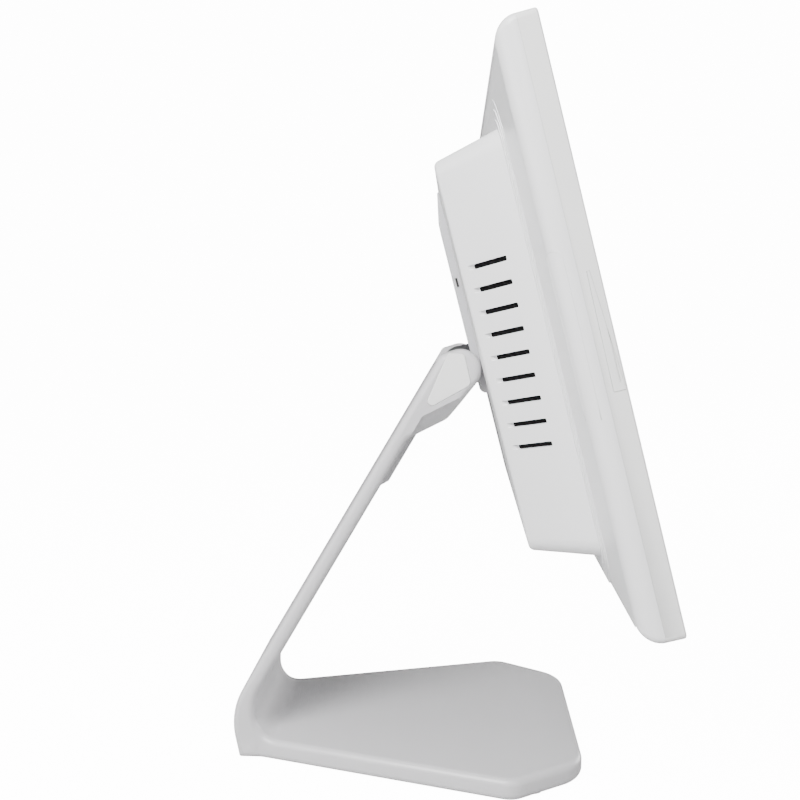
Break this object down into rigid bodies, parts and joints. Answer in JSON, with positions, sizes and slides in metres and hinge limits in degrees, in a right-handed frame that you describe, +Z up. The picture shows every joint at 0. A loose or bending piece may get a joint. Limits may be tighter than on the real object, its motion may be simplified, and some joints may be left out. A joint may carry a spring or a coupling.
{
  "type": "digital photo frame",
  "caption": "White digital photo frame: flat screen slab with a vented rear housing, tilting on an L shaped desk stand.",
  "frame": {"origin": "on the desk, under the middle of the object's bounding box", "axes": "+Z up, -Y is the side the viewer faces, +X is the viewer's right when facing the screen"},
  "size_m": [0.3851, 0.2059, 0.351],
  "materials": {
    "front_bezel": "glossy white moulding",
    "cover_glass": "clear glass with a black printed border",
    "lcd_panel": "dark polariser",
    "backlight_unit": "white frame with diffuser sheets",
    "chassis_plate": "stamped sheet",
    "panel_brackets": "zinc plated strip",
    "panel_screws": "zinc plated",
    "rear_cover": "satin white moulding",
    "rear_housing": "satin white moulding",
    "housing_posts": "turned",
    "housing_screws": "zinc plated",
    "wall_inserts": "turned and threaded",
    "vent_screens": "black mesh",
    "hinge_bracket": "die cast, painted white",
    "bracket_screws": "zinc plated",
    "bracket_cover": "satin white moulding",
    "main_board": "green solder mask",
    "driver_board": "green solder mask",
    "heat_sink": "anodised extrusion",
    "board_standoffs": "turned",
    "board_screws": "zinc plated",
    "ribbon_cable": "amber film",
    "speaker_left": "black",
    "speaker_right": "black",
    "speaker_posts": "black",
    "wireless_antenna": "black film and lead",
    "dc_inlet": "black with a plated pin",
    "usb_socket": "nickel plated shell",
    "card_socket": "nickel plated shell",
    "audio_jack": "black",
    "key_board": "green solder mask",
    "card_slot_cover": "glossy white moulding",
    "power_key": "glossy white moulding",
    "menu_key": "glossy white moulding",
    "previous_key": "glossy white moulding",
    "next_key": "glossy white moulding",
    "stand_shell": "satin white moulding",
    "arm_front_cover": "satin white moulding",
    "steel_core": "bent plate",
    "base_weight": "flame cut plate",
    "base_cover": "matt white moulding",
    "base_screws": "zinc plated",
    "rubber_feet": "dark rubber",
    "cable_guide": "satin white moulding",
    "hinge_shaft": "ground rod",
    "friction_bushes": "filled nylon",
    "spring_washers": "spring steel",
    "lock_nuts": "zinc plated",
    "head_cap_left": "glossy white moulding",
    "head_cap_right": "glossy white moulding"
  },
  "bodies": {
    "stand": {"stand_shell": "stand_shell", "arm_front_cover": "arm_front_cover", "steel_core": "steel_core", "base_weight": "base_weight", "base_cover": "base_cover", "base_screws": "base_screws", "rubber_feet": "rubber_feet", "cable_guide": "cable_guide", "hinge_shaft": "hinge_shaft", "friction_bushes": "friction_bushes", "spring_washers": "spring_washers", "lock_nuts": "lock_nuts", "head_cap_left": "head_cap_left", "head_cap_right": "head_cap_right"},
    "display": {"front_bezel": "front_bezel", "cover_glass": "cover_glass", "lcd_panel": "lcd_panel", "backlight_unit": "backlight_unit", "chassis_plate": "chassis_plate", "panel_brackets": "panel_brackets", "panel_screws": "panel_screws", "rear_cover": "rear_cover", "rear_housing": "rear_housing", "housing_posts": "housing_posts", "housing_screws": "housing_screws", "wall_inserts": "wall_inserts", "vent_screens": "vent_screens", "hinge_bracket": "hinge_bracket", "bracket_screws": "bracket_screws", "bracket_cover": "bracket_cover", "main_board": "main_board", "driver_board": "driver_board", "heat_sink": "heat_sink", "board_standoffs": "board_standoffs", "board_screws": "board_screws", "ribbon_cable": "ribbon_cable", "speaker_left": "speaker_left", "speaker_right": "speaker_right", "speaker_posts": "speaker_posts", "wireless_antenna": "wireless_antenna", "dc_inlet": "dc_inlet", "usb_socket": "usb_socket", "card_socket": "card_socket", "audio_jack": "audio_jack", "key_board": "key_board", "card_slot_cover": "card_slot_cover"},
    "power_key_body": {"power_key": "power_key"},
    "menu_key_body": {"menu_key": "menu_key"},
    "previous_key_body": {"previous_key": "previous_key"},
    "next_key_body": {"next_key": "next_key"}
  },
  "joints": [
    {"name": "display_tilt", "type": "hinge", "parent": "stand", "child": "display", "pos_m": [0, -0.019, 0.2115], "axis": [-1, 0, 0], "range_deg": [-14, 56]},
    {"name": "power_key_press", "type": "slide", "parent": "display", "child": "power_key_body", "axis": [-1, 0, 0], "range_m": [0, 0.0006], "stiffness_N_per_m": 800, "springref_m": -0.0005},
    {"name": "menu_key_press", "type": "slide", "parent": "display", "child": "menu_key_body", "axis": [-1, 0, 0], "range_m": [0, 0.0006], "stiffness_N_per_m": 800, "springref_m": -0.0005},
    {"name": "previous_key_press", "type": "slide", "parent": "display", "child": "previous_key_body", "axis": [-1, 0, 0], "range_m": [0, 0.0006], "stiffness_N_per_m": 800, "springref_m": -0.0005},
    {"name": "next_key_press", "type": "slide", "parent": "display", "child": "next_key_body", "axis": [-1, 0, 0], "range_m": [0, 0.0006], "stiffness_N_per_m": 800, "springref_m": -0.0005}
  ]
}
